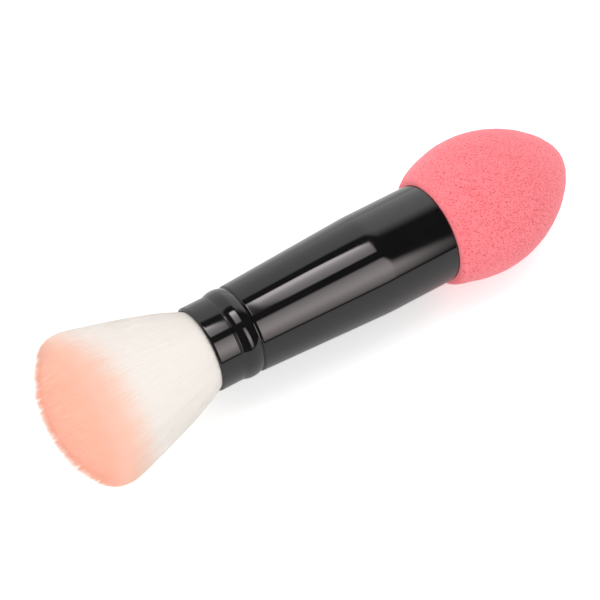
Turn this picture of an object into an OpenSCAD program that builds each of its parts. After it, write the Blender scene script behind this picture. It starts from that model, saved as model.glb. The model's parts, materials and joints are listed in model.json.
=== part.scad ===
// Double ended makeup brush: a flared round bristle tuft in a beaded ferrule on one end of a
// tapered handle, and a foam sponge in the cup on its other end. It lies on its side, on a small
// flat spot of each soft end. Along the brush, positions are measured from the ferrule's mouth,
// positive towards the sponge. +X runs from the bristles to the sponge and +Z is up.

/* [Ferrule] */
// Outside radius of the ferrule's tube
ferrule_r = 10; // [8:0.1:12]
// Length of the ferrule, from its mouth to the seam with the handle
ferrule_len = 10.5; // [9:0.1:16]
// Thickness of the ferrule's sheet
ferrule_wall = 0.5; // [0.3:0.05:0.8]
// Length of the mouth's edge that is folded back inside
hem_len = 1.2; // [0.8:0.1:1.8]
// Width of the raised bead
bead_w = 4.4; // [3.2:0.1:5.4]
// Height of the raised bead above the tube
bead_h = 0.5; // [0.3:0.05:0.9]
// Plain edge between the bead and the seam
bead_margin = 0.15; // [0.05:0.05:0.5]
// Width of the rolled crease ahead of the bead
crease_w = 0.6; // [0.4:0.05:0.9]
// Depth of the rolled crease
crease_d = 0.14; // [0.08:0.02:0.24]

/* [Handle] */
// Length of the handle outside the ferrule, from the seam to the cup's rim
handle_len = 50.7; // [44:0.1:70]
// Step from the ferrule's tube up to the handle's shoulder
shoulder_step = 0.35; // [0.1:0.05:1]
// Rounding of the shoulder and of the spigot's end
shoulder_round = 0.5; // [0.3:0.05:0.9]
// Length of the spigot inside the ferrule
spigot_len = 4.5; // [3.5:0.1:5.5]
// Wall of the spigot round the moulded core
spigot_wall = 2; // [1.2:0.1:3]
// Taper of the moulded core, in degrees a side
core_draft = 0.5; // [0.2:0.1:1.2]
// Plastic between the core and the cup
septum = 2; // [1.2:0.1:4]
// Outside radius of the cup
cup_r = 12; // [10.5:0.1:14]
// Length of the cup's straight outside, up to the rim
cup_len = 17.7; // [12:0.1:24]
// Length over which the taper turns into the straight cup
knee_len = 2.4; // [1:0.1:5]
// Depth of the cup's bore
cup_depth = 14; // [10:0.1:18]
// Wall of the cup
cup_wall = 1.1; // [0.8:0.05:1.8]
// Rounding of the rim's outer edge
rim_round = 0.35; // [0.2:0.05:0.5]
// Chamfer of the rim's inner edge
rim_chamfer = 0.25; // [0.1:0.05:0.3]

/* [Bristles] */
// Free length of the bristles, from the ferrule's mouth to the top
tuft_len = 36.4; // [30:0.1:45]
// Radius of the tuft at its widest
tuft_r = 17.3; // [15:0.1:21]
// Distance from the mouth to the widest place
tuft_belly = 26; // [22:0.5:28.5]
// Angle at which the outer bristles leave the mouth, in degrees
tuft_flare = 50; // [30:1:60]
// Reach of that flare before the side straightens
tuft_flare_reach = 3.2; // [1:0.1:6]
// Reach of the bend into the widest place
tuft_belly_reach = 2; // [1:0.1:6]
// Reach of the side over the top's edge
tuft_edge_reach = 7; // [4:0.1:8.5]
// Radius out to which the top stays almost flat
tuft_top_r = 9.4; // [6:0.1:14]
// Lean of the tuft out of line with the handle, to the near side, in degrees
tuft_lean = 2.2; // [0:0.1:5]
// Length of the dyed tips
dyed_len = 15; // [8:0.5:24]
// Depth to which loose bristle runs inside the ferrule
root_depth = 2.3; // [2:0.1:2.8]

/* [Sponge] */
// Length of the sponge beyond the rim
sponge_len = 39; // [32:0.5:48]
// Radius of the sponge at its widest
sponge_r = 16.5; // [14.5:0.1:19]
// Distance from the rim to the widest place
sponge_belly = 13.7; // [11:0.1:18]
// Overhang of the sponge's lip beyond the cup
lip_over = 0.3; // [0.1:0.05:0.8]
// Overhang of the sponge just above its lip
base_over = 1.95; // [0.9:0.05:2.6]
// Height of the rounded lip
lip_h = 1.2; // [0.8:0.1:2]
// Slope of the side above the lip, in degrees
sponge_flare = 25; // [10:0.5:30]
// Reach of that slope towards the widest place
sponge_flare_reach = 3.2; // [2:0.1:8]
// Reach of the widest place towards the rim
sponge_low_reach = 3.6; // [2:0.1:7]
// Reach of the widest place towards the tip
sponge_high_reach = 14; // [8:0.1:16]
// Reach of the blunt tip out to the side
sponge_tip_reach = 5.3; // [3:0.1:8]
// Lean of the sponge out of line with the handle, in degrees
sponge_lean = 3.1; // [0:0.1:6]
// Direction of the lean, in degrees up from the far side
sponge_lean_up = 24; // [0:1:60]
// Thickness of the glue under the sponge
glue_t = 0.4; // [0.2:0.05:0.8]

/* [Fits] */
// Clearance between two round faces that seat in each other
seat_gap = 0.05; // [0.02:0.01:0.1]
// Clearance of the foam in the cup's bore
foam_gap = 0.1; // [0.05:0.05:0.2]
// Depth of the flat spots that the brush lies on
flat_depth = 0.3; // [0.2:0.05:0.5]

/* [Hidden] */
$fn = 96;

// Steps in a long curve and in a small rounding
curve_n = 20;
round_n = 6;
// Excess of a cutting shape beyond what it cuts
over = 1;

// Ferrule and what it holds
ferrule_bore = ferrule_r - ferrule_wall;
hem_bore = ferrule_bore - ferrule_wall;
fill_r = ferrule_bore - seat_gap;
throat_r = hem_bore - seat_gap;
throat_len = hem_len + seat_gap;
spigot_at = ferrule_len - spigot_len;
bead_at = ferrule_len - bead_margin - bead_w / 2;
bead_arc = arc_radius(bead_w, bead_h);
crease_lip = 0.15;
crease_at = spigot_at - crease_lip - crease_w / 2;
crease_arc = arc_radius(crease_w, crease_d);

// Handle, with stations measured from the seam
shoulder_r = ferrule_r + shoulder_step;
knee_at = handle_len - cup_len;
knee_slope = (cup_r - shoulder_r) / (knee_at - shoulder_round);
cup_bore = cup_r - cup_wall;
cup_floor = handle_len - cup_depth;
core_r = fill_r - spigot_wall;
core_end = cup_floor - septum;
core_len = core_end + spigot_len;
core_end_r = core_r - core_len * tan(core_draft);

// Tuft's hidden stretch below the mouth, from which its lean cuts the lower side
tuft_skirt = hem_bore * sin(tuft_lean) + over;

// Sponge, with stations measured from the rim
rim_at = ferrule_len + handle_len;
lip_r = cup_r + lip_over;
base_r = cup_r + base_over;
sponge_skirt = base_r * sin(sponge_lean) + over;

// Outlines of the soft ends as points of radius and distance
tuft_side = bezier([
    [hem_bore, 0],
    [hem_bore + tuft_flare_reach * sin(tuft_flare), tuft_flare_reach * cos(tuft_flare)],
    [tuft_r, tuft_belly - tuft_belly_reach],
    [tuft_r, tuft_belly]
], curve_n);
tuft_top = bezier([
    [tuft_r, tuft_belly],
    [tuft_r, tuft_belly + tuft_edge_reach],
    [tuft_top_r, tuft_len],
    [0, tuft_len]
], curve_n);
sponge_lip = bezier([
    [lip_r, 0],
    [(lip_r + base_r) / 2, 0],
    [base_r - lip_h / 2 * tan(sponge_flare), lip_h / 2],
    [base_r, lip_h]
], round_n);
sponge_side = bezier([
    [base_r, lip_h],
    [base_r + sponge_flare_reach * sin(sponge_flare), lip_h + sponge_flare_reach * cos(sponge_flare)],
    [sponge_r, sponge_belly - sponge_low_reach],
    [sponge_r, sponge_belly]
], curve_n);
sponge_nose = bezier([
    [sponge_r, sponge_belly],
    [sponge_r, sponge_belly + sponge_high_reach],
    [sponge_tip_reach, sponge_len],
    [0, sponge_len]
], curve_n);

// The brush lies on its two bellies: the slope of its axis, and the place of the ferrule's mouth,
// which puts the whole brush centred on the origin. A lean is split into its rise and its swing.
sponge_rise = sin(sponge_lean) * sin(sponge_lean_up);
sponge_swing = sin(sponge_lean) * cos(sponge_lean_up);
tuft_swing = sin(tuft_lean);
belly_at = tuft_belly * cos(tuft_lean);
tuft_all = concat(tuft_side, tuft_top);
sponge_all = concat(sponge_lip, sponge_side, sponge_nose);
slope = atan((tuft_r - reach(sponge_all, -sponge_rise)) / (rim_at + sponge_belly + belly_at));
mouth_h = tuft_r * cos(slope) - belly_at * sin(slope) - flat_depth;
tuft_end = reach(tuft_all, cos(slope) * cos(tuft_lean));
sponge_end = reach(sponge_all, cos(slope) * cos(sponge_lean) + sin(slope) * sponge_rise);
near_side = max(reach(tuft_all, tuft_swing), reach(sponge_all, -sponge_swing));
far_side = max(reach(tuft_all, -tuft_swing), reach(sponge_all, sponge_swing));
mouth_x = (tuft_end - rim_at * cos(slope) - sponge_end) / 2;
mouth_y = (near_side - far_side) / 2;
brush_len = tuft_len + rim_at + sponge_len;

function bezier(p, n) = [
    for (i = [0 : n])
        let (t = i / n, u = 1 - t)
            u * u * u * p[0] + 3 * u * u * t * p[1] + 3 * u * t * t * p[2] + t * t * t * p[3]
];

// How far an outline, turned about its own axis, reaches in a direction whose cosine with that
// axis is c
function reach(outline, c) = max([for (p = outline) p[1] * c + p[0] * sqrt(1 - c * c)]);

// Radius of the arc that stands h high on a chord of width w
function arc_radius(w, h) = (w * w / 4 + h * h) / (2 * h);

// Points of a rounding of radius r about c, from angle a to angle b
function rounding(c, r, a, b) = [
    for (i = [0 : round_n])
        let (t = a + (b - a) * i / round_n)
            c + r * [cos(t), sin(t)]
];

// Turns what stands on the ferrule's mouth into the brush's place on the table
module laid() {
    translate([mouth_x, mouth_y, mouth_h]) rotate([0, 90 + slope, 0]) children();
}

// The same, with what would reach below the table pressed flat
module rested() {
    intersection() {
        laid() children();
        translate([-brush_len, -brush_len, 0]) cube([2 * brush_len, 2 * brush_len, brush_len]);
    }
}

// Section of the ferrule's rolled crease: the arc on the sheet's face at radius r
module crease_arc_2d(r, grow = 0) {
    translate([r - crease_d + crease_arc, crease_at]) circle(r = crease_arc + grow);
}

module ferrule_2d() {
    difference() {
        union() {
            // Tube, from the start of the hem's fold to the seam
            translate([ferrule_bore, ferrule_wall]) square([ferrule_wall, ferrule_len - ferrule_wall]);
            // Hem: the fold at the mouth and the edge that returns inside
            intersection() {
                translate([ferrule_bore, ferrule_wall]) circle(r = ferrule_wall);
                translate([0, -over]) square([ferrule_r + over, ferrule_wall + over]);
            }
            translate([hem_bore, ferrule_wall]) square([ferrule_wall, hem_len - ferrule_wall]);
            // Bead, and the crease's ridge inside
            intersection() {
                translate([ferrule_r + bead_h - bead_arc, bead_at]) circle(r = bead_arc);
                translate([ferrule_bore, 0]) square([bead_h + 2 * ferrule_wall, ferrule_len]);
            }
            intersection() {
                crease_arc_2d(ferrule_bore);
                square([ferrule_bore + ferrule_wall / 2, ferrule_len]);
            }
        }
        translate([ferrule_r + bead_h - bead_arc, bead_at]) circle(r = bead_arc - ferrule_wall);
        crease_arc_2d(ferrule_r);
    }
}

module handle_2d() {
    outline = concat(
        [[0, -spigot_len], [fill_r - shoulder_round, -spigot_len]],
        [[fill_r, shoulder_round - spigot_len], [fill_r, 0]],
        rounding([shoulder_r - shoulder_round, shoulder_round], shoulder_round, -90, 0),
        bezier([
            [cup_r - knee_slope * knee_len / 2, knee_at - knee_len / 2],
            [cup_r - knee_slope * knee_len / 6, knee_at - knee_len / 6],
            [cup_r, knee_at + knee_len / 6],
            [cup_r, knee_at + knee_len / 2]
        ], round_n),
        rounding([cup_r - rim_round, handle_len - rim_round], rim_round, 0, 90),
        [[cup_bore + rim_chamfer, handle_len], [cup_bore, handle_len - rim_chamfer]],
        [[cup_bore, cup_floor], [0, cup_floor]]
    );
    difference() {
        polygon(outline);
        polygon(concat(
            [[0, -spigot_len - over], [core_r, -spigot_len - over], [core_r, -spigot_len]],
            rounding([core_end_r - shoulder_round, core_end - shoulder_round], shoulder_round, 0, 90),
            [[0, core_end]]
        ));
    }
}

// Roots inside the ferrule, up to its mouth
module tuft_root_2d() {
    translate([0, -root_depth]) square([fill_r, root_depth - throat_len]);
    translate([0, -root_depth]) square([throat_r, root_depth]);
}

module tuft_head_2d() {
    polygon(concat(
        [[0, -tuft_skirt], [hem_bore, -tuft_skirt]],
        tuft_side,
        [for (i = [1 : curve_n]) tuft_top[i]]
    ));
}

module sponge_head_2d() {
    polygon(concat(
        [[0, -sponge_skirt], [lip_r, -sponge_skirt]],
        sponge_lip,
        [for (i = [1 : curve_n]) sponge_side[i]],
        [for (i = [1 : curve_n]) sponge_nose[i]]
    ));
}

// The part of the tuft between two distances from the mouth, leaned to the near side
module tuft_band(from, to) {
    rotate([tuft_lean, 0, 0]) rotate_extrude() intersection() {
        tuft_head_2d();
        translate([0, from]) square([tuft_r + over, to - from]);
    }
}

module bristle_tuft() {
    undyed_len = tuft_len - dyed_len;
    rested() mirror([0, 0, 1]) {
        color("ivory") {
            rotate_extrude() tuft_root_2d();
            intersection() {
                tuft_band(-tuft_skirt, undyed_len);
                cylinder(r = tuft_r + tuft_len, h = tuft_len);
            }
        }
        color("peachpuff") tuft_band(undyed_len, tuft_len);
    }
}

// Resin cast round the bristle roots, keyed to the crease's ridge
module epoxy_plug() {
    color("goldenrod") laid() rotate_extrude() difference() {
        translate([0, root_depth]) square([fill_r, spigot_at - root_depth]);
        crease_arc_2d(ferrule_bore, seat_gap);
    }
}

module ferrule() {
    color("#1c1b1d") laid() rotate_extrude() ferrule_2d();
}

module handle_barrel() {
    color("#121113") laid() translate([0, 0, ferrule_len]) rotate_extrude() handle_2d();
}

module sponge_adhesive() {
    color("khaki") laid() translate([0, 0, ferrule_len + cup_floor])
        cylinder(r = cup_bore - foam_gap, h = glue_t);
}

module sponge() {
    plug_r = cup_bore - foam_gap;
    plug_len = cup_depth - glue_t;
    color("#ff8a93") rested() translate([0, 0, rim_at]) {
        translate([0, 0, -plug_len]) cylinder(r = plug_r, h = plug_len);
        intersection() {
            rotate(sponge_lean, [-cos(sponge_lean_up), -sin(sponge_lean_up), 0])
                rotate_extrude() sponge_head_2d();
            cylinder(r = sponge_r + sponge_len, h = sponge_len);
        }
    }
}

bristle_tuft();
epoxy_plug();
ferrule();
handle_barrel();
sponge_adhesive();
sponge();
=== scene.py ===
"""Looks of a double ended makeup brush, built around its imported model.

The brush lies on its side: a flared round bristle tuft in a black ferrule, a tapered black handle
and a foam sponge in the cup at its other end. Lengths are in metres. The brush's axis runs from
the ferrule's mouth to the sponge, and both soft ends are built outwards along their own axis.
"""
import json
import math

import bpy
import numpy as np
from mathutils import Matrix, Vector, kdtree

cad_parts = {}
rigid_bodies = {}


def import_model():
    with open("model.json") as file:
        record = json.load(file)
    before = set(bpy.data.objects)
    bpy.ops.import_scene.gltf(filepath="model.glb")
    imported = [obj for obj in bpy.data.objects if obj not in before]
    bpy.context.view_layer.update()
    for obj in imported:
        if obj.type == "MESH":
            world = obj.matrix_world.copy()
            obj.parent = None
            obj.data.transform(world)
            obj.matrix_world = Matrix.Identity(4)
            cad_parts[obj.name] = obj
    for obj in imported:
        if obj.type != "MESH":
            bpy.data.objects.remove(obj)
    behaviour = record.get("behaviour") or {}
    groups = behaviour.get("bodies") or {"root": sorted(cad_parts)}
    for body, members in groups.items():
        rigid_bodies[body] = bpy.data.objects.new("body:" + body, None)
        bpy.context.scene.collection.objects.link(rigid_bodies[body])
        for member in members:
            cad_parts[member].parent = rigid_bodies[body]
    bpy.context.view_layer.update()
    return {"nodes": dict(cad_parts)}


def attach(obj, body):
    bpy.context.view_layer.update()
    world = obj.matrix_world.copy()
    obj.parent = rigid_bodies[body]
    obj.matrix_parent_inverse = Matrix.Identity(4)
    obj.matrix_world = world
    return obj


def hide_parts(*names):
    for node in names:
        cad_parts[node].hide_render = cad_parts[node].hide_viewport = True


MM = 0.001
CLEAR_OF_TABLE = 0.01 * MM
WHITE = (1.0, 1.0, 1.0, 1.0)

# Camera, placed from the middle of the ferrule's mouth and turned with the brush, in degrees
VIEW_AZIMUTH = 34.22
VIEW_ELEVATION = 52.57
VIEW_ROLL = 1.27
VIEW_DISTANCE = 389.8 * MM
VIEW_RIGHT = 21.76 * MM
VIEW_UP = 10.86 * MM
LENS = 108.0

# Light on matt surfaces: a fill by height and from the far side to the near one, a soft lamp
# overhead, one beyond the bristles and one beyond the sponge
FILL_ABOVE = 0.66
FILL_BESIDE = 1.05
FILL_SIDES = (1.17, 0.945)
TOP_LAMP_AT = (0.1, 0.1, 1.2)
TOP_LAMP_SIZE = (0.7, 0.7)
TOP_LAMP_LEVEL = 0.24
END_LAMP_AT = (-1.3, -0.2, 0.35)
END_LAMP_SIZE = (1.0, 0.7)
END_LAMP_LEVEL = 0.34
LOW_LAMP_AT = (1.2, -0.7, 0.3)
LOW_LAMP_SIZE = (1.0, 0.6)
LOW_LAMP_LEVEL = 0.06

# Studio that gloss mirrors, in degrees from straight up towards the near side, and by the share of
# a direction that lies along the brush. Levels are by angle across each softbox. The top one has a
# rounded corner at each end, given by where along the brush and at which angle it begins, its
# reach in degrees and the power of its curve. The side one's far edge leans by its second number.
# The backdrop's pairs run over its turn, towards the sponge.
STUDIO_TILT = 0.925
TOP_BOX = [
    (-20, 9.3), (-8, 9.3), (-6, 7.7), (-4, 6.2), (0, 4.9), (4, 4.1), (8, 3.45), (12, 3.1),
    (15, 2.8), (16.5, 2.0), (18.5, 0.0)
]
TOP_BOX_TINT = (1.0, 0.92, 0.94)
TOP_BOX_END = 0.318
TOP_BOX_CORNER = (0.27, 6.0, 21.0, 2.6)
TOP_BOX_START = 0.2425
TOP_BOX_START_CORNER = (0.256, -6.0, -24.0, 2.0)
TOP_BOX_GAP = 0.01
TOP_BOX_FADE = (-0.25, -0.15)
CORNER_BLUR = (0.94, 1.06)
SIDE_BOX = [
    (32.5, 0.0), (34, 1.2), (36, 2.7), (40, 3.35), (44, 3.8), (48, 4.2), (52, 4.6), (56, 4.9),
    (60, 5.05), (64, 4.9), (68, 4.3), (72, 3.7), (76, 3.1), (80, 2.65), (84, 2.0), (86.5, 1.2),
    (88, 0.0)
]
SIDE_BOX_TINT = (1.0, 0.9, 0.9)
SIDE_BOX_START = 0.2
SIDE_BOX_END = (0.451, 0.147)
SIDE_BOX_BLUR = 0.03
BACKDROP_LEVEL = (1.15, 1.55)
BACKDROP_EDGE = (-30.5, -16.0)
BACKDROP_BLUR = (3.0, 15.0)
BACKDROP_TURN = (0.3, 0.42)
DARK_LEVEL = 0.05
TABLE_SIZE = 9.0
TABLE_WHITE = 0.9
TABLE_SHOWN = 0.45
TABLE_MIRRORED = 0.05

# Bristles, in families that differ in number, points, length and place. A share is a part of the
# tuft's radius, but RIM_FROM and EDGE_FROM are parts of its area, and angles turn from straight up
# towards the far side.
SIDE_STRANDS = 4400
SIDE_POINTS = 8
SIDE_SHARES = (0.984, 0.999)
TOP_STRANDS = 9800
TOP_POINTS = 4
TOP_LENGTH = 7.0 * MM
TOP_SHARE = 0.985
RIM_STRANDS = 7400
RIM_POINTS = 5
RIM_LENGTH = 10.0 * MM
RIM_FROM = 0.72
EDGE_STRANDS = 18000
EDGE_POINTS = 2
EDGE_LENGTH = 4.0 * MM
EDGE_FROM = 0.86
OUTERMOST = 0.999
STRAND_RADIUS = 0.05 * MM
TIP_RADIUS = 0.01 * MM
TAPER_LENGTH = 6.0 * MM
STRAND_SIDES = 3
STRAND_ROUNDNESS = 0.55
ASKEW = np.array([0.31, 0.52, 0.79])
ROOT_DEPTH = 0.4 * MM
TIP_REACH = 1.0 * MM
FRINGE = 1.1 * MM
LOCKS = 46
LOCK_DEPTH = 0.004
FREE_LENGTH = 25.0 * MM
FREE_MOST = 1.4
STRAY = 0.12 * MM
DRIFT = 0.35 * MM
DRIFT_RADIUS = 4.0 * MM
FAR_SIDE = math.radians(55)
SPLAY = 0.4 * MM
SPLAY_FROM = 21.0 * MM
SPLAY_TO = 29.0 * MM
FAR_WIDER = 0.15 * MM
WORN_SHORTER = 0.55 * MM
WORN_SIDE = math.radians(82)
WORN_FROM = 0.5
WORN_RISE = 0.3
SIDE_SHADED_FROM = 0.9
SIDE_SHADED_RISE = 0.08

# The dye by height above the mouth, and the bristles' tone from 0 to 1
DYE_FROM = 17.2 * MM
DYE_TO = 35.0 * MM
DYE_LAG = 3.0 * MM
DYE_WAVE = 0.25 * MM
DYE_UNEVEN = 0.5 * MM
# Painted light at the rim's tips, which are lightened against the shade at the tuft's edge
RIM_TIPS_PAINTED_LIGHTER = 0.28
PALE_LENGTH = 3.0 * MM
PALE_FROM = 0.72
PALE_RISE = 0.24
STRAND_TONE = 0.6
CORE_TONE = 0.5
TONE_WAVE = 0.14
TONE_UNEVEN = 0.2

# The tuft's core, drawn in from its outline and more so towards the tips
CORE_SHARE = 0.978
CORE_INSET = 0.32 * MM
CORE_TIP_INSET = 0.28 * MM
CORE_TIP_FROM = 20.0 * MM
CORE_TIP_RISE = 13.0 * MM
CORE_LEAST = 0.1 * MM
CORE_SHORTER = 0.9 * MM

# Sponge
SPONGE_RINGS = 204
SPONGE_SEGMENTS = 470
SPONGE_LEANS_ON = math.radians(0.8)
LEAN_BLEND = 4.0 * MM
LIP_CLEAR = 0.1 * MM
LIP_DRAWN_IN = 0.27 * MM
LIP_HEIGHT = 7.0 * MM
TIP_SHORTER = 0.3 * MM
PORE_CELL = 0.648 * MM
PORES_KEPT = 0.6
PORE_RADIUS = 0.15 * MM
PORE_RANGE = (0.7, 1.25)
PORE_DEPTH = 0.11 * MM
PORES_FROM = 0.25 * MM
SMALL_CELL = 0.5 * MM
DOT_CELL = 0.85 * MM
FOAM_SHADES = [(0.3, (0.957, 0.222, 0.248)), (0.7, (0.995, 0.25, 0.279))]
# Painted shade: the darker colours of the foam's small cells and of its pores
SMALL_PORE_SHADE = (0.9, 0.142, 0.16, 1.0)
DEEP_PORE_SHADE = (0.68, 0.078, 0.093, 1.0)

for leftover in list(bpy.data.objects):
    bpy.data.objects.remove(leftover)

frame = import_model()


def unit(v):
    return v / np.linalg.norm(v)


def points_of(name):
    """A CAD node's vertices as an array."""
    mesh = frame["nodes"][name].data
    flat = np.zeros(len(mesh.vertices) * 3)
    mesh.vertices.foreach_get("co", flat)
    return flat.reshape(-1, 3)


def middle_of(name):
    """The centroid of a CAD node's surface, which lies on the brush's axis."""
    total = Vector((0, 0, 0))
    area = 0.0
    for face in frame["nodes"][name].data.polygons:
        total += face.center * face.area
        area += face.area
    return np.array(total / area)


def brush_axis():
    """The middle of the ferrule's mouth, the axis towards the sponge, and the middle of the rim."""
    ferrule_middle = middle_of("ferrule")
    axis = unit(middle_of("handle_barrel") - ferrule_middle)
    mouth = ferrule_middle + axis * ((points_of("ferrule") - ferrule_middle) @ axis).min()
    rim = ferrule_middle + axis * ((points_of("handle_barrel") - ferrule_middle) @ axis).max()
    return mouth, axis, rim


def lean_of(name, origin, rough):
    """Direction in which a soft end stands on its origin, from the middle of its outer surface."""
    total = np.zeros(3)
    area = 0.0
    far = ((points_of(name) - origin) @ rough).max()
    for face in frame["nodes"][name].data.polygons:
        place = np.array(face.center) - origin
        if place @ rough > far / 3:
            total += place * face.area
            area += face.area
    return unit(total / area)


def outline_of(points, origin, direction, full_ring=12, decimals=4):
    """A turned solid's outline: the distance along the direction and the radius of each ring of
    its vertices, ending at its tip. A ring that the flat spot cuts keeps its full radius."""
    along = (points - origin) @ direction
    radii = np.linalg.norm(points - origin - np.outer(along, direction), axis=1)
    places = np.round(along, decimals)
    rings = [
        (place, radii[places == place].max())
        for place in np.unique(places)
        if (places == place).sum() >= full_ring
    ]
    rings.append((along.max(), 0.0))
    return np.array(rings)


def resampled(outline, count):
    """An outline with its points spread evenly along its length."""
    steps = np.linalg.norm(np.diff(outline, axis=0), axis=1)
    run = np.concatenate([[0.0], np.cumsum(steps)])
    wanted = np.linspace(0.0, run[-1], count)
    return np.stack([np.interp(wanted, run, outline[:, i]) for i in (0, 1)], axis=1)


def smoothed(outline, count=600, reach=12):
    """An outline without the faint corners that its rings leave."""
    weights = np.hanning(2 * reach + 3)[1:-1]
    weights /= weights.sum()
    margins = ((reach, reach), (0, 0))
    fine = np.pad(resampled(outline, count), margins, "reflect", reflect_type="odd")
    return np.stack([np.convolve(fine[:, i], weights, "valid") for i in (0, 1)], axis=1)


def cross_frame(direction):
    """Two unit vectors square to a direction: upwards, and to its side."""
    up = unit(np.array([0.0, 0.0, 1.0]) - direction * direction[2])
    return up, np.cross(direction, up)


def placed(origin, outwards, turn, along, radius):
    """Points at an angle, a distance and a radius about a line."""
    up, side = cross_frame(outwards)
    place = origin + along[..., None] * outwards
    place = place + (radius * np.cos(turn))[..., None] * up
    return place + (radius * np.sin(turn))[..., None] * side


def risen(value, start, length):
    """0 up to the start, 1 from a length beyond it, and straight between."""
    return np.clip((value - start) / length, 0, 1)


def mesh_object(name, verts, faces, values=None, smooth=True, normals=None):
    """A mesh object from an array of places and a list of arrays of faces, each array with one
    count of corners. Values are named numbers for each vertex, and normals are for shading."""
    mesh = bpy.data.meshes.new(name)
    corners = np.concatenate([f.reshape(-1) for f in faces]).astype(np.int32)
    counts = np.concatenate([np.full(len(f), f.shape[1]) for f in faces])
    starts = np.concatenate([[0], np.cumsum(counts)[:-1]]).astype(np.int32)
    mesh.vertices.add(len(verts))
    mesh.vertices.foreach_set("co", verts.reshape(-1).astype(np.float32))
    mesh.loops.add(len(corners))
    mesh.loops.foreach_set("vertex_index", corners)
    mesh.polygons.add(len(counts))
    mesh.polygons.foreach_set("loop_start", starts)
    mesh.polygons.foreach_set("use_smooth", np.full(len(counts), smooth))
    for key, numbers in (values or {}).items():
        layer = mesh.attributes.new(key, "FLOAT", "POINT")
        layer.data.foreach_set("value", numbers.reshape(-1).astype(np.float32))
    mesh.update(calc_edges=True)
    mesh.validate()
    if normals is not None:
        mesh.normals_split_custom_set_from_vertices(normals.reshape(-1, 3))
    obj = bpy.data.objects.new(name, mesh)
    bpy.context.scene.collection.objects.link(obj)
    return obj


def grid_faces(rows, columns):
    """Faces of a closed tube of rows rings, each with columns points."""
    first = np.arange((rows - 1) * columns).reshape(rows - 1, columns)
    after = np.roll(first, -1, axis=1)
    return np.stack([first, after, after + columns, first + columns], axis=2).reshape(-1, 4)


def fan_faces(ring, centre, outward):
    """Triangles that close a ring of points to its centre."""
    after = np.roll(ring, -1)
    middle = np.full(len(ring), centre)
    pair = (ring, after) if outward else (after, ring)
    return np.stack([*pair, middle], axis=1)


def capped_faces(rows, segments):
    """Faces of a closed tube and its two ends, whose middle points come after its own points."""
    count = rows * segments
    ring = np.arange(segments)
    return [
        grid_faces(rows, segments),
        fan_faces(ring, count, False),
        fan_faces(ring + count - segments, count + 1, True),
    ]


def turned_grid(outline, segments):
    """Angle, distance and radius at each place of a turned surface."""
    angles = np.arange(segments) * (2 * math.pi / segments)
    turn, along = np.meshgrid(angles, outline[:, 0])
    radius = np.repeat(outline[:, 1][:, None], segments, axis=1)
    return turn, along, radius


def waves(angle, seed, count, low, high):
    """A smooth wavy value round the axis, mostly within 1.4 of zero and the same each time for a
    seed. Its waves are from low to high in number round one turn."""
    draw = np.random.default_rng(seed)
    total = np.zeros_like(angle)
    for turns in draw.integers(low, high, count):
        total += np.cos(turns * angle + draw.uniform(0, 2 * math.pi))
    return total / math.sqrt(count)


# Materials


def material(name, **constants):
    """A material with one Principled shader, its constants set on the shader's own sockets."""
    made = bpy.data.materials.new(name)
    made.use_nodes = True
    tree = made.node_tree
    shader = tree.nodes["Principled BSDF"]
    for key, value in constants.items():
        shader.inputs[key.replace("_", " ")].default_value = value
    return made, tree, shader


def add(tree, kind, inputs=None, **settings):
    """A node with its settings, and its inputs given as a value or as another node's output."""
    made = tree.nodes.new(kind)
    for key, value in settings.items():
        setattr(made, key, value)
    for key, value in (inputs or {}).items():
        if isinstance(value, bpy.types.NodeSocket):
            tree.links.new(value, made.inputs[key])
        else:
            made.inputs[key].default_value = value
    return made


def ramp(tree, factor, stops):
    """A colour ramp over (place, colour) stops."""
    made = add(tree, "ShaderNodeValToRGB", {"Fac": factor})
    elements = made.color_ramp.elements
    while len(elements) > 1:
        elements.remove(elements[-1])
    elements[0].position = stops[0][0]
    elements[0].color = (*stops[0][1], 1.0)
    for place, colour in stops[1:]:
        element = elements.new(place)
        element.color = (*colour, 1.0)
    return made.outputs["Color"]


def grey_ramp(tree, factor, stops):
    """A ramp over (place, level) stops."""
    return ramp(tree, factor, [(place, (level, level, level)) for place, level in stops])


def mixed(tree, factor, first, second, blend_type="MIX"):
    """Two colours mixed. The node has several sockets of each name, so they go by number."""
    inputs = {0: factor, 6: first, 7: second}
    made = add(tree, "ShaderNodeMix", inputs, data_type="RGBA", blend_type=blend_type)
    return made.outputs[2]


def noise(tree, scale, detail=2.0):
    """Noise over the object's own coordinates, in features of the scale given."""
    place = add(tree, "ShaderNodeTexCoord").outputs["Object"]
    inputs = {"Vector": place, "Scale": 1.0 / scale, "Detail": detail}
    return add(tree, "ShaderNodeTexNoise", inputs).outputs["Fac"]


def spread(tree, value, low, high):
    """A value from 0 to 1 brought to run from low to high."""
    made = add(tree, "ShaderNodeMapRange", {"Value": value, "To Min": low, "To Max": high})
    return made.outputs["Result"]


def bump(tree, height, strength, distance, below=None):
    inputs = {"Height": height, "Strength": strength, "Distance": distance}
    if below:
        inputs["Normal"] = below
    return add(tree, "ShaderNodeBump", inputs).outputs["Normal"]


def uneven_finish(name, ior, shade, roughness, relief):
    """A finish that varies a little. Each of its three parts has its noise's scale and detail, and
    then the two colours or values that it runs between, or a bump's strength and distance."""
    made, tree, shader = material(name, IOR=ior)
    scale, detail, dark, pale = shade
    shades = ramp(tree, noise(tree, scale, detail), [(0.3, dark), (0.7, pale)])
    tree.links.new(shades, shader.inputs["Base Color"])
    scale, detail, low, high = roughness
    tree.links.new(spread(tree, noise(tree, scale, detail), low, high), shader.inputs["Roughness"])
    scale, detail, strength, distance = relief
    bumped = bump(tree, noise(tree, scale, detail), strength, distance)
    tree.links.new(bumped, shader.inputs["Normal"])
    return made


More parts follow.
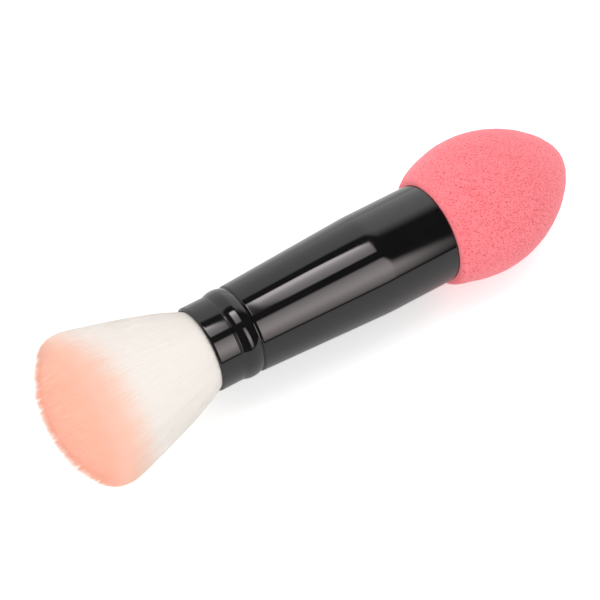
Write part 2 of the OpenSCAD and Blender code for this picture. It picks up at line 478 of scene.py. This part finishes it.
def ferrule_paint():
    """Black lacquer on the ferrule's rolled sheet."""
    return uneven_finish(
        "ferrule_paint",
        ior=1.52,
        shade=(5 * MM, 2.0, (0.0045, 0.0044, 0.0048), (0.0065, 0.0063, 0.0068)),
        roughness=(2 * MM, 4.0, 0.025, 0.07),
        relief=(3 * MM, 2.0, 0.08, 0.01 * MM),
    )


def handle_plastic():
    """Glossy black moulded plastic, with the faint unevenness of a moulded face."""
    return uneven_finish(
        "handle_plastic",
        ior=1.52,
        shade=(9 * MM, 2.0, (0.0035, 0.0034, 0.0038), (0.0055, 0.0053, 0.0058)),
        roughness=(4 * MM, 4.0, 0.03, 0.075),
        relief=(6 * MM, 2.0, 0.1, 0.02 * MM),
    )


def cast_resin():
    """Clear amber epoxy round the bristle roots, seen only with the ferrule off."""
    return uneven_finish(
        "cast_resin",
        ior=1.55,
        shade=(2 * MM, 3.0, (0.46, 0.27, 0.07), (0.6, 0.4, 0.14)),
        roughness=(1 * MM, 2.0, 0.12, 0.3),
        relief=(0.8 * MM, 2.0, 0.3, 0.05 * MM),
    )


def foam_glue():
    """Spread contact glue under the sponge, seen only with the sponge out."""
    return uneven_finish(
        "foam_glue",
        ior=1.45,
        shade=(1.5 * MM, 4.0, (0.6, 0.5, 0.26), (0.75, 0.66, 0.4)),
        roughness=(1 * MM, 2.0, 0.35, 0.6),
        relief=(0.6 * MM, 4.0, 0.5, 0.08 * MM),
    )


def bristle_fibre():
    """Fine nylon bristle, white with dyed tips. The dye and each bristle's tone are on the mesh."""
    made, tree, shader = material(
        "bristle_fibre", Roughness=0.6, IOR=1.5, Specular_IOR_Level=0.2
    )
    # The dye values also hold the painted lightening of the rim's tips
    dye = add(tree, "ShaderNodeAttribute", attribute_name="dye").outputs["Fac"]
    tone = add(tree, "ShaderNodeAttribute", attribute_name="tone").outputs["Fac"]
    colour = ramp(tree, dye, [
        (0.0, (0.965, 0.905, 0.85)),
        (0.13, (0.967, 0.898, 0.838)),
        (0.27, (0.985, 0.83, 0.746)),
        (0.4, (0.995, 0.63, 0.5)),
        (0.5, (0.995, 0.56, 0.435)),
        (0.62, (0.995, 0.515, 0.392)),
        (0.72, (0.995, 0.477, 0.355)),
        (0.82, (0.995, 0.449, 0.33)),
        (1.0, (0.99, 0.445, 0.327)),
    ])
    grey = ramp(tree, tone, [(0.0, (0.95, 0.945, 0.94)), (1.0, (1.0, 1.0, 1.0))])
    toned = mixed(tree, 1.0, colour, grey, "MULTIPLY")
    tree.links.new(toned, shader.inputs["Base Color"])
    return made


def sponge_foam():
    """Coral foam: matt, with small cells and scattered pores. The darker middles of the cells and
    the darker insides of the pores are painted shade.
    """
    made, tree, shader = material(
        "sponge_foam",
        Roughness=0.9,
        IOR=1.4,
        Specular_IOR_Level=0.2,
        Subsurface_Weight=0.35,
        Subsurface_Radius=(1.0, 0.4, 0.4),
        Subsurface_Scale=1.2 * MM,
        Sheen_Weight=0.35,
        Sheen_Roughness=0.45,
        Sheen_Tint=(1.0, 0.62, 0.66, 1.0),
    )
    place = add(tree, "ShaderNodeTexCoord").outputs["Object"]
    # Painted shade in the middles of the small cells, which the bump also sinks
    small = add(tree, "ShaderNodeTexVoronoi", {"Vector": place, "Scale": 1 / SMALL_CELL})
    walls = grey_ramp(tree, small.outputs["Distance"], [(0.14, 0.0), (0.32, 1.0)])
    # Dots of painted shade, in patches, stand for the finest pores
    wide = add(tree, "ShaderNodeTexVoronoi", {"Vector": place, "Scale": 1 / DOT_CELL})
    pore_shade_dots = grey_ramp(tree, wide.outputs["Distance"], [(0.09, 1.0), (0.18, 0.0)])
    patches = grey_ramp(tree, noise(tree, 7 * MM), [(0.4, 0.25), (0.6, 1.0)])
    # Painted shade inside the dug pores, by their depth
    dug = add(tree, "ShaderNodeAttribute", attribute_name="pore").outputs["Fac"]
    pores = arith(tree, "MAXIMUM", dug, arith(tree, "MULTIPLY", pore_shade_dots, patches))
    body = ramp(tree, noise(tree, 3 * MM, 3.0), FOAM_SHADES)
    colour = mixed(tree, pores, mixed(tree, walls, SMALL_PORE_SHADE, body), DEEP_PORE_SHADE)
    tree.links.new(colour, shader.inputs["Base Color"])
    grain = bump(tree, noise(tree, 0.25 * MM), 0.3, 0.06 * MM)
    tree.links.new(bump(tree, walls, 0.35, 0.08 * MM, grain), shader.inputs["Normal"])
    return made


# Camera, light and table


def view_vectors(axis):
    """Right, up and ahead in the view, from its angles to the brush's axis."""
    turn = math.radians(VIEW_AZIMUTH)
    rise = math.radians(VIEW_ELEVATION)
    roll = math.radians(VIEW_ROLL)
    level = np.array([math.cos(turn), -math.sin(turn), 0.0])
    steep = [math.sin(turn) * math.sin(rise), math.cos(turn) * math.sin(rise), math.cos(rise)]
    steep = np.array(steep)
    lift, side = cross_frame(axis)
    brush = np.array([axis, -side, lift])
    right = (level * math.cos(roll) + steep * math.sin(roll)) @ brush
    up = (steep * math.cos(roll) - level * math.sin(roll)) @ brush
    return right, up, np.cross(up, right)


def place_camera(mouth, axis):
    right, up, ahead = view_vectors(axis)
    lens = bpy.data.cameras.new("camera")
    lens.lens = LENS
    lens.sensor_width = 36.0
    lens.clip_start = 0.01
    lens.clip_end = 50.0
    camera = bpy.data.objects.new("camera", lens)
    bpy.context.scene.collection.objects.link(camera)
    place = mouth + right * VIEW_RIGHT + up * VIEW_UP - ahead * VIEW_DISTANCE
    turned = Matrix((right, up, -ahead)).transposed()
    camera.matrix_world = Matrix.Translation(place) @ turned.to_4x4()
    bpy.context.scene.camera = camera


def soft_lamp(name, place, size, level, towards):
    """An area lamp that gives a matt surface facing it the level asked for, and no reflection."""
    data = bpy.data.lights.new(name, "AREA")
    data.shape = "RECTANGLE"
    data.size, data.size_y = size
    apart = Vector(towards) - Vector(place)
    data.energy = level * math.pi**2 * apart.length_squared
    lamp = bpy.data.objects.new(name, data)
    bpy.context.scene.collection.objects.link(lamp)
    facing = apart.to_track_quat("-Z", "Y").to_matrix().to_4x4()
    lamp.matrix_world = Matrix.Translation(place) @ facing
    lamp.visible_camera = False
    lamp.visible_glossy = False


def arith(tree, operation, first, second=0.0):
    return add(tree, "ShaderNodeMath", {0: first, 1: second}, operation=operation).outputs["Value"]


def step_up(tree, value, low, high):
    """0 below low, 1 above high, and smooth between."""
    inputs = {"Value": value, "From Min": low, "From Max": high}
    made = add(tree, "ShaderNodeMapRange", inputs, interpolation_type="SMOOTHSTEP")
    return made.outputs["Result"]


def step_down(tree, value, low, high):
    return arith(tree, "SUBTRACT", 1.0, step_up(tree, value, low, high))


def part_along(tree, place, direction):
    """The share of a direction that lies along another."""
    inputs = {0: place, 1: direction}
    made = add(tree, "ShaderNodeVectorMath", inputs, operation="DOT_PRODUCT")
    return made.outputs["Value"]


def scaled(tree, colour, factor):
    inputs = {0: colour, "Scale": factor}
    return add(tree, "ShaderNodeVectorMath", inputs, operation="SCALE").outputs["Vector"]


def panel(tree, angle, stops, tint, mask):
    """A softbox's light by angle across it, in its tint and inside its mask."""
    first, last = stops[0][0], stops[-1][0]
    peak = max(level for _, level in stops)
    inputs = {"Value": angle, "From Min": first, "From Max": last}
    place = add(tree, "ShaderNodeMapRange", inputs).outputs["Result"]
    shades = [
        ((degrees - first) / (last - first), tuple(level / peak * part for part in tint))
        for degrees, level in stops
    ]
    return scaled(tree, ramp(tree, place, shades), arith(tree, "MULTIPLY", mask, peak))


def rounded_end(tree, angle, along, corner, end):
    """A softbox's end, with one of its two corners rounded."""
    middle, turn, reach, power = corner
    aside = arith(tree, "DIVIDE", arith(tree, "SUBTRACT", along, middle), end - middle)
    beyond = arith(tree, "DIVIDE", arith(tree, "SUBTRACT", turn, angle), reach)
    parts = [
        arith(tree, "POWER", arith(tree, "MAXIMUM", part, 0.0), power) for part in (aside, beyond)
    ]
    past = arith(tree, "POWER", arith(tree, "ADD", *parts), 1 / power)
    return step_down(tree, past, *CORNER_BLUR)


def top_box_mask(tree, angle, along):
    """The overhead softbox with a rounded corner at each end, and a second one beyond its near
    end, with a narrow gap between them."""
    far = rounded_end(tree, angle, along, TOP_BOX_CORNER, TOP_BOX_END)
    near = rounded_end(tree, angle, along, TOP_BOX_START_CORNER, TOP_BOX_START)
    beside = step_down(tree, along, TOP_BOX_START - 2 * TOP_BOX_GAP, TOP_BOX_START - TOP_BOX_GAP)
    beside = arith(tree, "MULTIPLY", beside, step_up(tree, along, *TOP_BOX_FADE))
    return arith(tree, "MULTIPLY", far, arith(tree, "MAXIMUM", near, beside))


def side_box_mask(tree, along, across, height):
    """The near side's softbox between its two upright edges, the far one leaning and soft."""
    sideways = arith(tree, "DIVIDE", along, across)
    lean = arith(tree, "MULTIPLY", arith(tree, "DIVIDE", height, across), SIDE_BOX_END[1])
    past = arith(tree, "SUBTRACT", sideways, arith(tree, "ADD", lean, SIDE_BOX_END[0]))
    start = SIDE_BOX_START
    inner = step_up(tree, sideways, start - SIDE_BOX_BLUR, start + SIDE_BOX_BLUR)
    outer = step_down(tree, past, -2 * SIDE_BOX_BLUR, SIDE_BOX_BLUR)
    return arith(tree, "MULTIPLY", inner, outer)


def backdrop(tree, angle, along):
    """White on the far side, down to an edge that is higher and softer towards the sponge."""
    inputs = {"Value": along, "From Min": BACKDROP_TURN[0], "From Max": BACKDROP_TURN[1]}
    turn = add(tree, "ShaderNodeMapRange", inputs).outputs["Result"]
    past = arith(tree, "SUBTRACT", angle, spread(tree, turn, *BACKDROP_EDGE))
    blurred = arith(tree, "DIVIDE", past, spread(tree, turn, *BACKDROP_BLUR))
    white = step_down(tree, blurred, -1.0, 1.0)
    return arith(tree, "MULTIPLY", white, spread(tree, turn, *BACKDROP_LEVEL))


def lighter(tree, first, second):
    return mixed(tree, 1.0, first, second, "LIGHTEN")


def make_world(axis):
    """White to the camera, a fill for matt surfaces, and a studio in gloss."""
    world = bpy.data.worlds.new("studio")
    bpy.context.scene.world = world
    world.use_nodes = True
    tree = world.node_tree
    place = add(tree, "ShaderNodeTexCoord").outputs["Generated"]
    lift, near = cross_frame(axis)
    tilt = math.radians(STUDIO_TILT)
    along = part_along(tree, place, axis * math.cos(tilt) + lift * math.sin(tilt))
    height = part_along(tree, place, lift * math.cos(tilt) - axis * math.sin(tilt))
    across = part_along(tree, place, near)
    angle = arith(tree, "DEGREES", arith(tree, "ARCTAN2", across, height))
    top = panel(tree, angle, TOP_BOX, TOP_BOX_TINT, top_box_mask(tree, angle, along))
    side = panel(tree, angle, SIDE_BOX, SIDE_BOX_TINT, side_box_mask(tree, along, across, height))
    behind = arith(tree, "MAXIMUM", backdrop(tree, angle, along), DARK_LEVEL)
    mirrored = lighter(tree, lighter(tree, top, side), behind)
    fill = spread(tree, height, FILL_BESIDE, FILL_ABOVE)
    nearness = add(tree, "ShaderNodeMapRange", {"Value": across, "From Min": -1.0})
    sides = spread(tree, nearness.outputs["Result"], *FILL_SIDES)
    fill = arith(tree, "MULTIPLY", fill, sides)
    path = add(tree, "ShaderNodeLightPath").outputs
    level = mixed(tree, path["Is Glossy Ray"], fill, mirrored)
    seen = arith(tree, "MAXIMUM", path["Is Camera Ray"], path["Is Transmission Ray"])
    shown = mixed(tree, seen, level, WHITE)
    tree.links.new(shown, tree.nodes["Background"].inputs["Color"])


def make_table():
    """A white table that keeps the brush's soft shadow and shows white round it."""
    half = TABLE_SIZE / 2
    corners = np.array([[-half, -half, 0], [half, -half, 0], [half, half, 0], [-half, half, 0]])
    table = mesh_object("table", corners, [np.array([[0, 1, 2, 3]])], smooth=False)
    made, tree, shader = material(
        "table_white",
        Roughness=0.9,
        Base_Color=(TABLE_WHITE, TABLE_WHITE, TABLE_WHITE, 1.0),
        Specular_IOR_Level=0.0,
        Emission_Color=WHITE,
    )
    path = add(tree, "ShaderNodeLightPath").outputs
    shown = arith(tree, "MULTIPLY", path["Is Camera Ray"], TABLE_SHOWN)
    mirrored = arith(tree, "MULTIPLY", path["Is Glossy Ray"], TABLE_MIRRORED)
    tree.links.new(arith(tree, "ADD", shown, mirrored), shader.inputs["Emission Strength"])
    table.data.materials.append(made)


def make_studio(mouth, axis):
    bpy.context.scene.view_settings.view_transform = "Standard"
    place_camera(mouth, axis)
    below_top = (TOP_LAMP_AT[0], TOP_LAMP_AT[1], 0.0)
    soft_lamp("top_lamp", TOP_LAMP_AT, TOP_LAMP_SIZE, TOP_LAMP_LEVEL, below_top)
    soft_lamp("end_lamp", END_LAMP_AT, END_LAMP_SIZE, END_LAMP_LEVEL, mouth)
    soft_lamp("low_lamp", LOW_LAMP_AT, LOW_LAMP_SIZE, LOW_LAMP_LEVEL, mouth)
    make_world(axis)
    make_table()


# Bristles


def side_radius(outline, along):
    """Radius of the tuft's side, which keeps its slope past the widest place."""
    widest = outline[:, 1].argmax()
    return np.interp(along, outline[: widest + 1, 0], outline[: widest + 1, 1])


def strand_end(outline, share):
    """How far a bristle reaches whose place across the tuft is a share of its side's radius."""
    widest = outline[:, 1].argmax()
    top = outline[widest:]
    shares = top[:, 1] / side_radius(outline, top[:, 0])
    return np.interp(share, shares[::-1], top[::-1, 0])


def outline_slopes(outline):
    """The outward normal at each point of an outline: its parts along and away from the axis."""
    step = np.gradient(outline, axis=0)
    normal = np.stack([-step[:, 1], step[:, 0]], axis=1)
    return normal / np.linalg.norm(normal, axis=1)[:, None]


def side_share(angle, side):
    """1 at a side, falling to 0 a quarter turn from it."""
    return np.clip(np.cos(angle - side), 0, 1)


def near_tip(along, end, length):
    """1 at a bristle's tip, falling to 0 a length before it."""
    return np.clip((along - end[:, None]) / length + 1, 0, 1)


def dye_at(along, angle):
    """Strength of the dye at a height above the mouth: it fades in towards the tips, later on the
    far side."""
    height = along - DYE_LAG * side_share(angle, FAR_SIDE) ** 3
    return risen(height, DYE_FROM, DYE_TO - DYE_FROM)


def tone_waves(angle):
    return TONE_WAVE * waves(angle, seed=9, count=30, low=6, high=3 * LOCKS)


def strand_mesh(name, paths, radii, facing, dye, tone):
    """One mesh of closed tapering tubes. Paths is strands by points by 3, and facing is the way
    that the tuft's surface faces there, which the bristles are mostly shaded by."""
    strands, points = radii.shape
    lengthwise = paths[:, -1] - paths[:, 0]
    lengthwise /= np.linalg.norm(lengthwise, axis=1)[:, None]
    first = np.cross(lengthwise, ASKEW)
    first /= np.linalg.norm(first, axis=1)[:, None]
    second = np.cross(lengthwise, first)
    turns = np.arange(STRAND_SIDES) * (2 * math.pi / STRAND_SIDES)
    spokes = first[:, None] * np.cos(turns)[:, None] + second[:, None] * np.sin(turns)[:, None]
    verts = paths[:, :, None] + spokes[:, None] * radii[:, :, None, None]
    verts[..., 2] = np.maximum(verts[..., 2], CLEAR_OF_TABLE)
    normals = facing[:, :, None] + (spokes[:, None] - facing[:, :, None]) * STRAND_ROUNDNESS
    normals /= np.linalg.norm(normals, axis=3)[..., None]
    per_strand = points * STRAND_SIDES
    offsets = (np.arange(strands) * per_strand)[:, None, None]
    walls = (grid_faces(points, STRAND_SIDES)[None] + offsets).reshape(-1, 4)
    root = np.arange(STRAND_SIDES)[::-1]
    tip = np.arange(STRAND_SIDES) + per_strand - STRAND_SIDES
    ends = (np.stack([root, tip])[None] + offsets).reshape(-1, STRAND_SIDES)
    values = {
        "dye": np.repeat(dye, STRAND_SIDES, axis=1),
        "tone": np.repeat(tone, per_strand),
    }
    return mesh_object(name, verts.reshape(-1, 3), [walls, ends], values, normals=normals)


def strand_ends(outline, draw, angle, share):
    """How far each bristle reaches: about the tuft's top, and less where its edge is worn."""
    end = strand_end(outline, share) + TIP_REACH - np.abs(draw.normal(0, FRINGE, len(share)))
    worn = risen(share, WORN_FROM, WORN_RISE) * side_share(angle, WORN_SIDE) ** 6
    return end - WORN_SHORTER * worn


def strand_course(outline, draw, angle, share, along, end):
    """Angle and radius along each bristle. Locks draw it in between its ends, and its free part
    splays, strays inwards and drifts to one side."""
    bow = np.sin(math.pi * np.clip(along / end[:, None], 0, 1))
    locks = np.abs(waves(angle, seed=5, count=24, low=8, high=LOCKS))[:, None]
    free = np.clip(along / FREE_LENGTH, 0, FREE_MOST) ** 2
    stray = np.abs(draw.normal(0, STRAY, (len(angle), 1))) * free
    splay = SPLAY * risen(along, SPLAY_FROM, SPLAY_TO - SPLAY_FROM)
    wider = FAR_WIDER * np.clip(along / SPLAY_FROM, 0, 1)
    splay += wider * side_share(angle, FAR_SIDE)[:, None]
    radius = side_radius(outline, along) * (1 - LOCK_DEPTH * locks * bow) + splay
    radius = share[:, None] * radius - stray
    drift = draw.normal(0, DRIFT, (len(angle), 1)) * free
    turned = angle[:, None] + drift / np.maximum(radius, DRIFT_RADIUS)
    return turned, radius


def strand_facing(tuft, share, turned, along, end):
    """The way that the tuft's surface faces at each bristle: where it ends, and for the outermost
    ones beside each of their points."""
    _, outwards, outline = tuft
    outer = risen(share[:, None], SIDE_SHADED_FROM, SIDE_SHADED_RISE)
    read = end[:, None] + (along - end[:, None]) * outer
    slopes = outline_slopes(outline)
    lengthwise, sideways = (np.interp(read, outline[:, 0], slopes[:, i]) for i in (0, 1))
    return placed(np.zeros(3), outwards, turned, lengthwise, sideways)


def strand_dye(draw, angle, share, turned, along, end):
    """The dye along each bristle, uneven from one to the next, with painted light at the rim's
    tips: they are lightened against the shade at the tuft's edge.
    """
    shift = DYE_WAVE * waves(angle, seed=8, count=20, low=3, high=LOCKS)
    shift += draw.normal(0, DYE_UNEVEN, len(angle))
    # Painted lightening of the outer bristles' tips, against the shade at the tuft's edge
    rim = risen(share[:, None], PALE_FROM, PALE_RISE)
    painted_lightening = RIM_TIPS_PAINTED_LIGHTER * rim * near_tip(along, end, PALE_LENGTH)
    return dye_at(along + shift[:, None], turned) * (1 - painted_lightening)


def strand_family(name, tuft, seed, points, share, length=None):
    """Bristles at given shares of the tuft's radius, whole or only their last stretch."""
    mouth, outwards, outline = tuft
    count = len(share)
    draw = np.random.default_rng(seed)
    angle = draw.uniform(0, 2 * math.pi, count)
    end = strand_ends(outline, draw, angle, share)
    start = np.full(count, -ROOT_DEPTH) if length is None else end - length
    along = start[:, None] + (end - start)[:, None] * np.linspace(0, 1, points)
    turned, radius = strand_course(outline, draw, angle, share, along, end)
    paths = placed(mouth, outwards, turned, along, radius)
    facing = strand_facing(tuft, share, turned, along, end)
    thick = STRAND_RADIUS + (TIP_RADIUS - STRAND_RADIUS) * near_tip(along, end, TAPER_LENGTH)
    dye = strand_dye(draw, angle, share, turned, along, end)
    tone = STRAND_TONE + tone_waves(angle) + draw.normal(0, TONE_UNEVEN, count)
    return strand_mesh(name, paths, thick, facing, dye, np.clip(tone, 0, 1))


def make_tuft(mouth, axis):
    """The tuft's core and its loose bristles. Only the core casts shadows, because those of the
    bristles on one another make the tuft grey."""
    outwards = lean_of("bristle_tuft", mouth, -axis)
    outline = outline_of(points_of("bristle_tuft"), mouth, outwards)
    outline = outline[outline[:, 0] >= 0]
    tuft = (mouth, outwards, outline)
    draw = np.random.default_rng(11)
    sides = draw.uniform(*SIDE_SHARES, SIDE_STRANDS)
    across = TOP_SHARE * np.sqrt(draw.uniform(0, 1, TOP_STRANDS))
    near_rim = OUTERMOST * np.sqrt(draw.uniform(RIM_FROM, 1, RIM_STRANDS))
    edge = OUTERMOST * np.sqrt(draw.uniform(EDGE_FROM, 1, EDGE_STRANDS))
    fibre = bristle_fibre()
    pieces = [
        tuft_core(tuft),
        strand_family("bristles_side", tuft, 21, SIDE_POINTS, sides),
        strand_family("bristles_top", tuft, 22, TOP_POINTS, across, TOP_LENGTH),
        strand_family("bristles_rim", tuft, 23, RIM_POINTS, near_rim, RIM_LENGTH),
        strand_family("bristles_edge", tuft, 24, EDGE_POINTS, edge, EDGE_LENGTH),
    ]
    for piece in pieces[1:]:
        piece.visible_shadow = False
        piece.visible_diffuse = False
    for piece in pieces:
        piece.data.materials.append(fibre)
        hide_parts("bristle_tuft")
        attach(piece, "root")


def tuft_core(tuft, rows=90, segments=180):
    """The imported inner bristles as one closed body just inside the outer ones, which leaves them
    free at their tips."""
    mouth, outwards, outline = tuft
    shape = resampled(outline, rows)[:-1]
    turn, along, radius = turned_grid(shape, segments)
    near_tips = risen(along, CORE_TIP_FROM, CORE_TIP_RISE)
    radius = radius * CORE_SHARE - CORE_INSET - CORE_TIP_INSET * near_tips
    radius = np.maximum(radius, CORE_LEAST)
    along = along - CORE_SHORTER
    verts = placed(mouth, outwards, turn, along, radius)
    ends = np.array([mouth + along[0, 0] * outwards, mouth + along[-1, 0] * outwards])
    verts = np.concatenate([verts.reshape(-1, 3), ends])
    verts[:, 2] = np.maximum(verts[:, 2], CLEAR_OF_TABLE)
    values = {
        "dye": np.append(dye_at(along, turn), [0.0, 1.0]),
        "tone": np.append(CORE_TONE + tone_waves(turn), [CORE_TONE, CORE_TONE]),
    }
    return mesh_object("tuft_core", verts, capped_faces(len(shape), segments), values)


# Sponge


def pore_places(verts, draw):
    """Vertices picked at random as pore middles, one in each cell of a grid."""
    taken = set()
    picked = []
    for index in draw.permutation(len(verts)):
        key = tuple(np.floor(verts[index] / PORE_CELL).astype(int))
        if key not in taken:
            taken.add(key)
            picked.append(index)
    return np.array(picked)


def dig_pores(verts, normals, free):
    """Moves vertices inwards at scattered pores and gives how deep in a pore each vertex lies, by
    which the foam's material paints shade inside the pore.
    """
    draw = np.random.default_rng(31)
    picked = pore_places(verts, draw)
    picked = picked[draw.uniform(0, 1, len(picked)) < PORES_KEPT]
    reach = PORE_RADIUS * draw.uniform(*PORE_RANGE, len(picked))
    tree = kdtree.KDTree(len(picked))
    for number, index in enumerate(picked):
        tree.insert(verts[index], number)
    tree.balance()
    depth = np.zeros(len(verts))
    for index, place in enumerate(verts):
        _, number, gap = tree.find(place)
        depth[index] = max(0.0, 1.0 - (gap / reach[number]) ** 2)
    depth *= free
    return verts - normals * (depth * PORE_DEPTH)[:, None], depth


def sponge_outline(points, rim, outwards, cup_radius):
    """The sponge's outline above the rim, from its lip to its tip."""
    outline = outline_of(points, rim, outwards)
    above = outline[outline[:, 0] > LIP_CLEAR]
    far = above[-1, 0]
    near = np.clip(1 - above[:, 0] / LIP_HEIGHT, 0, 1)
    above[:, 1] -= LIP_DRAWN_IN * near * (2 - near)
    above[:, 0] -= TIP_SHORTER * (above[:, 0] / far) ** 2
    lip = np.array([[0.0, cup_radius - LIP_DRAWN_IN]])
    return smoothed(np.concatenate([lip, above]))


def plug_rings(points, rim, axis):
    """Distance and radius of the rings of the sponge's stem, from its end up to the rim."""
    along = (points - rim) @ axis
    radii = np.linalg.norm(points - rim - np.outer(along, axis), axis=1)
    deep = along.min()
    stem = radii[along < deep / 2].max()
    return np.array([[deep, stem * 0.5], [deep, stem], [deep / 2, stem], [0.0, stem]])


def make_sponge(axis, rim):
    """The sponge as one closed body: its stem in the cup, and its head, which leans from a little
    above the rim on."""
    points = points_of("sponge")
    outwards = lean_of("sponge", rim, axis)
    cup = points_of("handle_barrel") - rim
    cup_radius = np.linalg.norm(cup - np.outer(cup @ axis, axis), axis=1).max()
    outline = sponge_outline(points, rim, outwards, cup_radius)
    leaning = unit(outwards - axis * (outwards @ axis))
    outwards = unit(outwards + leaning * math.tan(SPONGE_LEANS_ON))
    tip = rim + outline[-1, 0] * outwards
    shape = resampled(outline, SPONGE_RINGS)[:-1]
    turn, along, radius = turned_grid(shape, SPONGE_SEGMENTS)
    straight = placed(rim, axis, turn, along, radius)
    leaned = placed(rim, outwards, turn, along, radius)
    share = np.clip(along / LEAN_BLEND, 0, 1)[..., None]
    share = share * share * (3 - 2 * share)
    head = straight + (leaned - straight) * share
    inside = plug_rings(points, rim, axis)
    turn_in, along_in, radius_in = turned_grid(inside, SPONGE_SEGMENTS)
    stem = placed(rim, axis, turn_in, along_in, radius_in)
    verts = np.concatenate([stem.reshape(-1, 3), head.reshape(-1, 3)])
    count = len(verts)
    verts = np.concatenate([verts, [rim + axis * inside[0, 0], tip]])
    faces = capped_faces(len(inside) + len(shape), SPONGE_SEGMENTS)
    smooth = mesh_object("sponge_body", verts, faces)
    normals = np.zeros(len(verts) * 3, np.float32)
    smooth.data.vertices.foreach_get("normal", normals)
    free = np.zeros(len(verts))
    free[len(inside) * SPONGE_SEGMENTS : count] = risen(along.reshape(-1), 0, PORES_FROM)
    dug, depth = dig_pores(verts, normals.reshape(-1, 3), free)
    dug[:, 2] = np.maximum(dug[:, 2], CLEAR_OF_TABLE)
    smooth.data.vertices.foreach_set("co", dug.reshape(-1).astype(np.float32))
    # The pore depth, by which the foam's material paints shade
    layer = smooth.data.attributes.new("pore", "FLOAT", "POINT")
    layer.data.foreach_set("value", depth.astype(np.float32))
    smooth.data.update()
    smooth.data.materials.append(sponge_foam())
    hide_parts("sponge")
    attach(smooth, "root")


def dress_nodes():
    """Materials of the CAD nodes that show as they are."""
    for name, finish in {
        "ferrule": ferrule_paint(),
        "handle_barrel": handle_plastic(),
        "epoxy_plug": cast_resin(),
        "sponge_adhesive": foam_glue(),
    }.items():
        for slot in frame["nodes"][name].material_slots:
            slot.material = finish


mouth, axis, rim = brush_axis()
make_studio(mouth, axis)
dress_nodes()
make_tuft(mouth, axis)
make_sponge(axis, rim)
